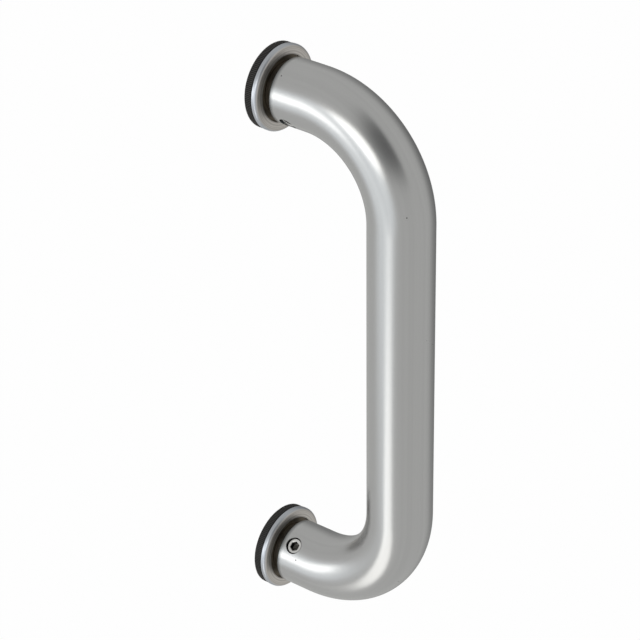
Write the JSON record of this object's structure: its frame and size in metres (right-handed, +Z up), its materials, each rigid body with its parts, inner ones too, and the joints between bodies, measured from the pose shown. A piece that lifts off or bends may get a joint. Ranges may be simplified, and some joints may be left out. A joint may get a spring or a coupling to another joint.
{
  "type": "door pull handle",
  "caption": "D-shaped round-bar pull handle. Its feet carry a rose and a rubber gasket, bolts from behind the door fix it, and grub screws lock the bar on.",
  "frame": {"origin": "on the door's face, midway between the two fixing centres", "axes": "+Z up along the grip, +Y into the door, +X across the handle; the handle stands out along -Y"},
  "size_m": [0.025, 0.0545, 0.175],
  "materials": {
    "bar": "satin anodised",
    "rose": "bright turned",
    "gasket": "matt, with a finely ribbed edge",
    "spigot": "dull, dark turned",
    "screw": "bright"
  },
  "bodies": {
    "root": {"handle_bar": "bar", "upper_rose": "rose", "lower_rose": "rose", "upper_gasket": "gasket", "lower_gasket": "gasket", "upper_spigot": "spigot", "lower_spigot": "spigot", "grub_screws": "screw"}
  },
  "joints": []
}
